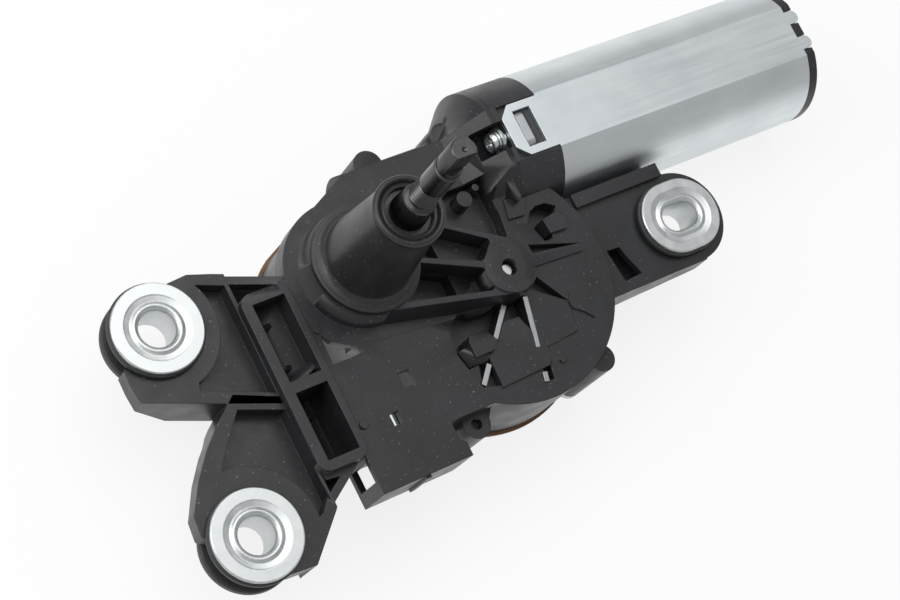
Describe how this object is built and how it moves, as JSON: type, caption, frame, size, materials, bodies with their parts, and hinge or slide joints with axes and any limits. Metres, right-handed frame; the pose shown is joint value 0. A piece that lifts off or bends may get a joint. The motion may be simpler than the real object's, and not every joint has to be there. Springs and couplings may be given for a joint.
{
  "type": "wiper motor",
  "caption": "Wiper gear motor: can motor, worm gear and toothed linkage in a moulded bracket housing, with a threaded output shaft in a rubber-booted tower.",
  "frame": {"origin": "where the output shaft's axis crosses the plane of the mounting sleeves' front faces", "axes": "+Z out along the output shaft, +X along the motor can away from the gear case, +Y from the mounting sleeves' side towards the motor can"},
  "size_m": [0.2577, 0.1162, 0.1159],
  "materials": {
    "moulding": "fine moulded grain, satin",
    "collar": "moulded, satin",
    "boot_rubber": "smooth rubber, satin",
    "grommet_rubber": "matt rubber",
    "zinc_sleeve": "zinc plated, slightly iridescent",
    "zinc_can": "zinc plated drawn steel, satin",
    "cover_metal": "pressed sheet, satin",
    "gasket": "cork-like seal with a hatched edge",
    "zinc_screw": "zinc plated",
    "nut_steel": "plain zinc",
    "strip_metal": "bright strip",
    "magnet": "sintered, matt",
    "core_iron": "laminated iron",
    "winding_copper": "enamelled copper wire",
    "bar_copper": "turned copper",
    "bright_steel": "ground steel",
    "dark_steel": "black finished steel",
    "gear_steel": "stamped steel",
    "bush_bronze": "sintered bronze",
    "bearing_steel": "ground rings",
    "holder_plastic": "brown laminate",
    "carbon": "carbon",
    "spring_steel": "spring steel",
    "wheel_plastic": "natural acetal",
    "washer_plastic": "dark plastic",
    "terminal_tin": "tinned brass blades",
    "board": "coated board"
  },
  "bodies": {
    "base": {"brush_holder": "holder_plastic", "brush_springs": "spring_steel", "brushes": "carbon", "circuit_board": "board", "clamp_nut": "nut_steel", "clamp_screw": "zinc_screw", "connector_terminals": "terminal_tin", "cover_gasket": "gasket", "cover_screws": "zinc_screw", "end_cap": "moulding", "front_bush": "bush_bronze", "gear_housing": "moulding", "grommet_lower": "grommet_rubber", "grommet_slotted": "grommet_rubber", "grommet_upper": "grommet_rubber", "magnets": "magnet", "middle_bearing": "bearing_steel", "motor_can": "zinc_can", "motor_collar": "collar", "pocket_strips": "strip_metal", "rear_bearing": "bearing_steel", "rear_cover": "cover_metal", "sleeve_lower": "zinc_sleeve", "sleeve_slotted": "zinc_sleeve", "sleeve_upper": "zinc_sleeve", "tower_boot": "boot_rubber", "tower_bush_lower": "bush_bronze", "tower_bush_upper": "bush_bronze", "tower_washer": "washer_plastic", "wheel_axle": "bright_steel"},
    "armature": {"armature_shaft": "bright_steel", "worm": "bright_steel", "armature_core": "core_iron", "armature_windings": "winding_copper", "commutator": "bar_copper"},
    "wheel": {"worm_wheel": "wheel_plastic", "wheel_bush": "bush_bronze"},
    "output": {"output_shaft": "dark_steel", "output_pinion": "gear_steel"},
    "link": {"link_plate": "gear_steel"},
    "lever": {"sector_lever": "gear_steel", "crank_pin": "bright_steel", "lever_pivot_pin": "bright_steel"}
  },
  "joints": [
    {"name": "output_sweep", "type": "hinge", "parent": "base", "child": "output", "pos_m": [0, 0, 0], "axis": [0, 0, 1], "range_deg": [0, 131.67]},
    {"name": "link_swing", "type": "hinge", "parent": "base", "child": "link", "pos_m": [0, 0, -0.0281], "axis": [0, 0, 1], "range_deg": [-0.1, 47.62]},
    {"name": "lever_pivot", "type": "hinge", "parent": "link", "child": "lever", "pos_m": [0.01954, 0.00426, -0.0255], "axis": [0, 0, 1], "range_deg": [-50.59, 0.1]},
    {"name": "armature_spin", "type": "hinge", "parent": "base", "child": "armature", "pos_m": [0.104, 0.0204, -0.015], "axis": [1, 0, 0], "continuous": true},
    {"name": "wheel_spin", "type": "hinge", "parent": "base", "child": "wheel", "pos_m": [0.0406, -0.0171, -0.015], "axis": [0, 0, 1], "continuous": true}
  ],
  "couplings": [
    {"joint": "link_swing", "follows": "output_sweep", "ratio": 0.36089},
    {"joint": "lever_pivot", "follows": "output_sweep", "ratio": -0.38347},
    {"joint": "wheel_spin", "follows": "armature_spin", "ratio": 0.02}
  ]
}
